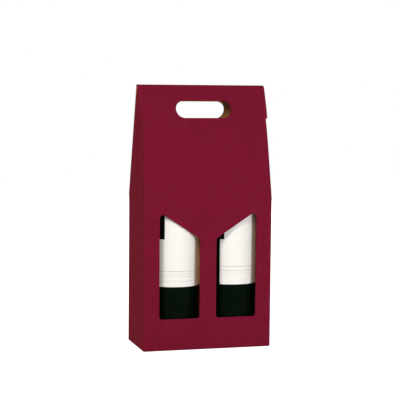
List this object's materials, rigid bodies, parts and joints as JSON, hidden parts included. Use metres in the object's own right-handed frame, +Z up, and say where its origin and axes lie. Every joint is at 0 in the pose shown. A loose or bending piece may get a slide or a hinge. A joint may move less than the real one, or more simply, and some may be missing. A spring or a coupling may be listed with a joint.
{
  "type": "corrugated wine box",
  "caption": "Upright corrugated carton with a folded gable roof, a hand hole along the ridge and slanted front windows, holding wine bottles.",
  "frame": {"origin": "middle of the footprint, on the floor", "axes": "+Z up to the ridge; -Y is the windowed front; +X to the right seen from the front"},
  "size_m": [0.18, 0.09, 0.358],
  "materials": {
    "burgundy_board": "micro-flute corrugated board, burgundy outside liner with faint flute lines, kraft inside",
    "kraft_board": "plain brown kraft corrugated board",
    "bottle_glass": "very dark green glass, smooth and glossy",
    "wine": "dark red liquid",
    "cork": "natural cork",
    "capsule": "thin satin burgundy capsule",
    "label_paper": "uncoated off-white label paper with fine rules"
  },
  "bodies": {
    "sleeve": {"front_panel": "burgundy_board", "back_panel": "burgundy_board", "left_side_panel": "burgundy_board", "right_side_panel": "burgundy_board", "glue_tab": "burgundy_board", "bottom_front_flap": "burgundy_board", "bottom_back_flap": "burgundy_board", "bottom_left_flap": "burgundy_board", "bottom_right_flap": "burgundy_board", "divider": "kraft_board"},
    "front_gable": {"front_gable": "burgundy_board"},
    "back_gable": {"back_gable": "burgundy_board"},
    "tuck_flap": {"tuck_flap": "burgundy_board"},
    "left_side_flap": {"left_side_flap": "burgundy_board"},
    "right_side_flap": {"right_side_flap": "burgundy_board"},
    "left_bottle": {"left_bottle_glass": "bottle_glass", "left_bottle_wine": "wine", "left_bottle_cork": "cork", "left_bottle_capsule": "capsule", "left_bottle_label": "label_paper"},
    "right_bottle": {"right_bottle_glass": "bottle_glass", "right_bottle_wine": "wine", "right_bottle_cork": "cork", "right_bottle_capsule": "capsule", "right_bottle_label": "label_paper"}
  },
  "joints": [
    {"name": "front_gable_fold", "type": "hinge", "parent": "sleeve", "child": "front_gable", "pos_m": [0, -0.045, 0.202], "axis": [1, 0, 0], "range_deg": [0, 120]},
    {"name": "back_gable_fold", "type": "hinge", "parent": "sleeve", "child": "back_gable", "pos_m": [0, 0.045, 0.202], "axis": [-1, 0, 0], "range_deg": [0, 120]},
    {"name": "tuck_flap_fold", "type": "hinge", "parent": "back_gable", "child": "tuck_flap", "pos_m": [0, -0.00085, 0.358], "axis": [-1, 0, 0], "range_deg": [0, 144.06]},
    {"name": "left_side_flap_fold", "type": "hinge", "parent": "sleeve", "child": "left_side_flap", "pos_m": [-0.09, 0, 0.202], "axis": [0, -1, 0], "range_deg": [0, 115]},
    {"name": "right_side_flap_fold", "type": "hinge", "parent": "sleeve", "child": "right_side_flap", "pos_m": [0.09, 0, 0.202], "axis": [0, 1, 0], "range_deg": [0, 115]},
    {"name": "left_bottle_lift", "type": "slide", "parent": "sleeve", "child": "left_bottle", "axis": [0, 0, 1], "range_m": [0, 0.01]},
    {"name": "right_bottle_lift", "type": "slide", "parent": "sleeve", "child": "right_bottle", "axis": [0, 0, 1], "range_m": [0, 0.01]}
  ],
  "couplings": [
    {"joint": "tuck_flap_fold", "follows": "front_gable_fold", "ratio": 1.2}
  ]
}
